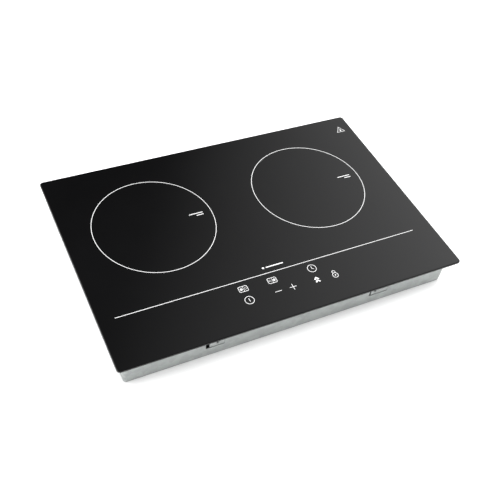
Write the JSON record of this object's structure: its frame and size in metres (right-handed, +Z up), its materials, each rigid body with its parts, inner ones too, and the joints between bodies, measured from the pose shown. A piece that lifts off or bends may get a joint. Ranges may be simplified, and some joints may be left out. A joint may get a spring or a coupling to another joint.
{
  "type": "electric induction cooktop",
  "caption": "Built-in induction cooktop: black glass plate with two ringed zones and touch keys over a steel casing with coils, boards and a blower.",
  "frame": {"origin": "centre of the casing's flat underside, below the middle of the glass", "axes": "+X to the right of the person cooking, +Y to the back, +Z up through the glass"},
  "size_m": [0.59, 0.394, 0.058],
  "materials": {
    "black_glass": "polished opaque black glass ceramic",
    "foam": "closed-cell foam",
    "silicone": "cured silicone",
    "frame_steel": "zinc-coated sheet",
    "screw_steel": "bright zinc",
    "galvanised_steel": "galvanised sheet with a faint spangle",
    "black_plastic": "fine moulded grain",
    "grey_plastic": "fine moulded grain",
    "white_plastic": "heat-resistant moulding",
    "rubber": "soft matt",
    "copper": "enamelled copper wire",
    "brass": "turned",
    "aluminium": "mill finish",
    "ferrite": "sintered, matt",
    "mica": "pressed mica sheet",
    "board_green": "solder mask over fibreglass",
    "epoxy": "moulded epoxy",
    "capacitor_blue": "potted case",
    "capacitor_yellow": "potted case",
    "lead_sleeve": "braided glass sleeve"
  },
  "bodies": {
    "root": {"air_duct": "grey_plastic", "blower_cover": "black_plastic", "blower_housing": "black_plastic", "blower_screws": "screw_steel", "board_carrier": "grey_plastic", "board_screws": "screw_steel", "bond_bead": "silicone", "bottom_pan": "galvanised_steel", "bridge_rectifier": "epoxy", "bus_capacitors": "aluminium", "bus_choke": "copper", "buzzer": "epoxy", "cable_grommet": "rubber", "coil_leads_left": "lead_sleeve", "coil_leads_right": "lead_sleeve", "coil_posts": "screw_steel", "coil_springs_left": "screw_steel", "coil_springs_right": "screw_steel", "coil_terminals": "brass", "control_chips": "epoxy", "earth_screw": "brass", "edge_seal": "foam", "fan_lead": "lead_sleeve", "film_capacitors": "capacitor_blue", "filter_board": "board_green", "filter_capacitors": "capacitor_yellow", "filter_choke": "copper", "frame_screws": "screw_steel", "glass_top": "black_glass", "heat_sink": "aluminium", "inlet_plate": "black_plastic", "led_displays": "epoxy", "mains_fuse": "white_plastic", "mains_wires": "lead_sleeve", "motor_stator": "copper", "power_board": "board_green", "power_transistors": "epoxy", "ribbon_cable": "lead_sleeve", "shaft_bearing": "brass", "support_frame": "frame_steel", "terminal_block": "white_plastic", "terminal_screws": "screw_steel", "touch_board": "board_green", "touch_carrier": "black_plastic", "touch_springs": "screw_steel"},
    "impeller": {"impeller": "grey_plastic", "rotor_magnet": "ferrite", "fan_shaft": "screw_steel"},
    "coil_left": {"coil_tray_left": "aluminium", "coil_former_left": "white_plastic", "coil_winding_left": "copper", "ferrite_bars_left": "ferrite", "insulation_sheet_left": "mica", "heat_sensor_left": "rubber"},
    "coil_right": {"coil_tray_right": "aluminium", "coil_former_right": "white_plastic", "coil_winding_right": "copper", "ferrite_bars_right": "ferrite", "insulation_sheet_right": "mica", "heat_sensor_right": "rubber"}
  },
  "joints": [
    {"name": "impeller_spin", "type": "hinge", "parent": "root", "child": "impeller", "pos_m": [-0.006, 0.116, 0.018], "axis": [0, 0, 1], "continuous": true},
    {"name": "coil_left_float", "type": "slide", "parent": "root", "child": "coil_left", "axis": [0, 0, 1], "range_m": [-0.003, 0], "stiffness_N_per_m": 6000, "springref_m": 0.004, "deforming": ["coil_springs_left", "coil_leads_left"]},
    {"name": "coil_right_float", "type": "slide", "parent": "root", "child": "coil_right", "axis": [0, 0, 1], "range_m": [-0.003, 0], "stiffness_N_per_m": 6000, "springref_m": 0.004, "deforming": ["coil_springs_right", "coil_leads_right"]}
  ]
}
